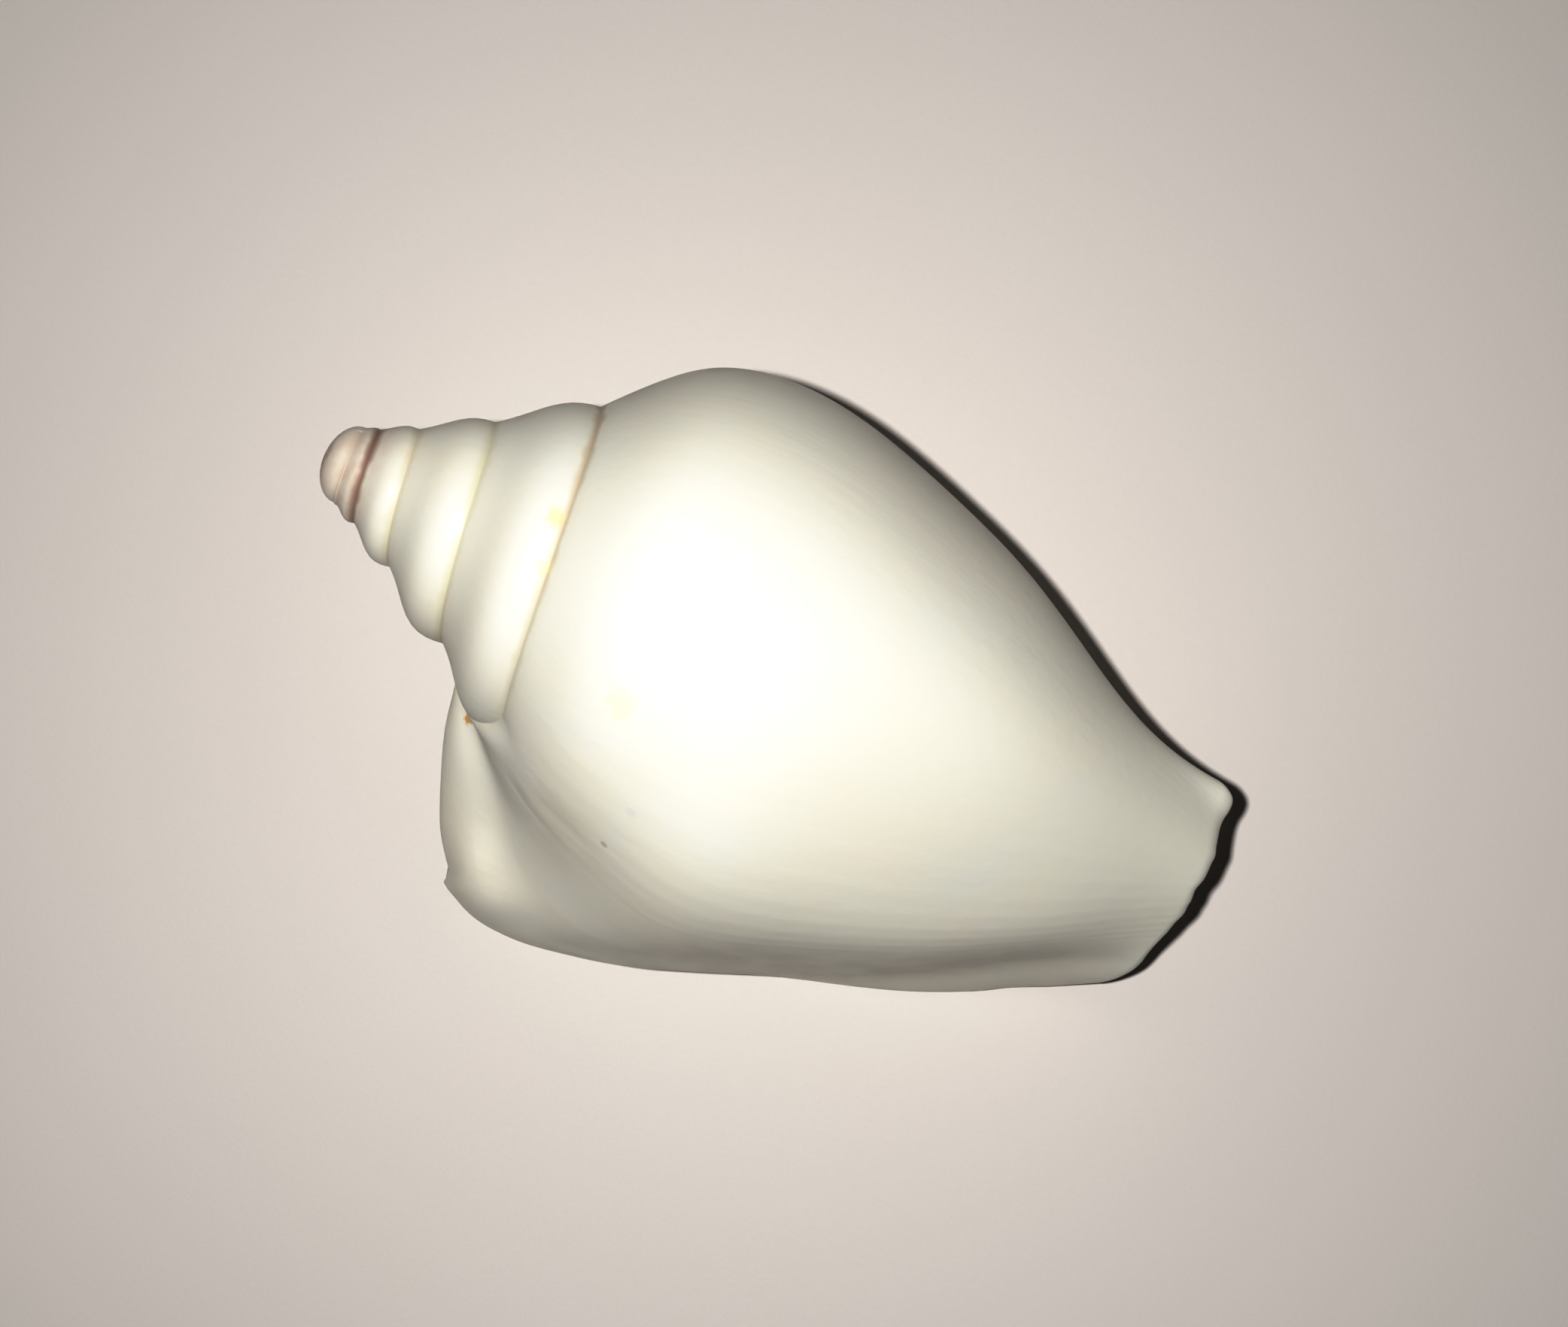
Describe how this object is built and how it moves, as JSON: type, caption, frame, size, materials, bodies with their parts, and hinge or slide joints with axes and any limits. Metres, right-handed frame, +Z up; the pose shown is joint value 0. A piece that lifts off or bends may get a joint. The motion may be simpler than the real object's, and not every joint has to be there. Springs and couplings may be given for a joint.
{
  "type": "conch shell",
  "caption": "Small smooth true conch shell with a short stepped spire, a swollen last whorl, a flared outer lip and an open front canal, lying on its aperture.",
  "frame": {"origin": "middle of the bounding box, on the plane the shell rests on", "axes": "+X from the spire's tip towards the front canal, -Y towards the outer lip, +Z up from the aperture to the back of the last whorl"},
  "size_m": [0.063, 0.0418, 0.0304],
  "materials": {
    "shell": "satin"
  },
  "bodies": {
    "root": {"shell": "shell"}
  },
  "joints": []
}
